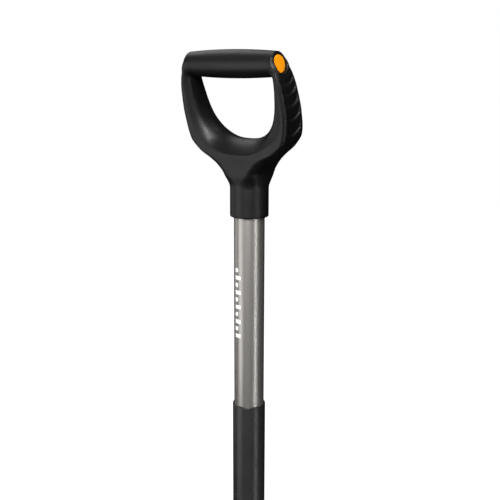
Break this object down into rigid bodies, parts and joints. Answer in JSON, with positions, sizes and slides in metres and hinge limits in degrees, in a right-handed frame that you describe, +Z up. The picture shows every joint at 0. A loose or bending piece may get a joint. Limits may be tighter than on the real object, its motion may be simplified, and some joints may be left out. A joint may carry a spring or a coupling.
{
  "type": "roofing shovel",
  "caption": "Long tear-off shovel: leaning D-grip, two-part tubular shaft, socketed flat plate with a bolted toothed blade and a prying heel underneath.",
  "frame": {"origin": "on the shaft's axis, in the middle of the bare upper tube, where a wall clip holds the tool", "axes": "+Z up the shaft towards the grip, -Y the front (the upper face of the blade, and the side the grip leans to), +X to the right of someone facing the front"},
  "size_m": [0.23, 0.1414, 1.1529],
  "materials": {
    "grip_plastic": "moulded black polyamide with a fine texture",
    "plug_plastic": "satin orange moulded plastic",
    "shaft_grey": "satin warm grey metallic coat",
    "shaft_black": "satin black coat",
    "head_coat": "textured black powder coat",
    "blade_steel": "ground spring steel",
    "zinc_steel": "bright zinc plate"
  },
  "bodies": {
    "root": {"d_grip": "grip_plastic", "grip_plug_right": "plug_plastic", "grip_plug_left": "plug_plastic", "grip_screw": "zinc_steel", "upper_shaft": "shaft_grey", "lower_shaft": "shaft_black", "joint_rivets": "zinc_steel", "socket": "head_coat", "socket_bolts": "zinc_steel", "socket_washers": "zinc_steel", "socket_nuts": "zinc_steel", "head_plate": "head_coat", "tooth_blade": "blade_steel", "blade_bolts": "zinc_steel", "blade_washers": "zinc_steel", "blade_nuts": "zinc_steel", "brace_right": "head_coat", "brace_left": "head_coat", "fulcrum": "head_coat", "fulcrum_welds": "head_coat"}
  },
  "joints": []
}
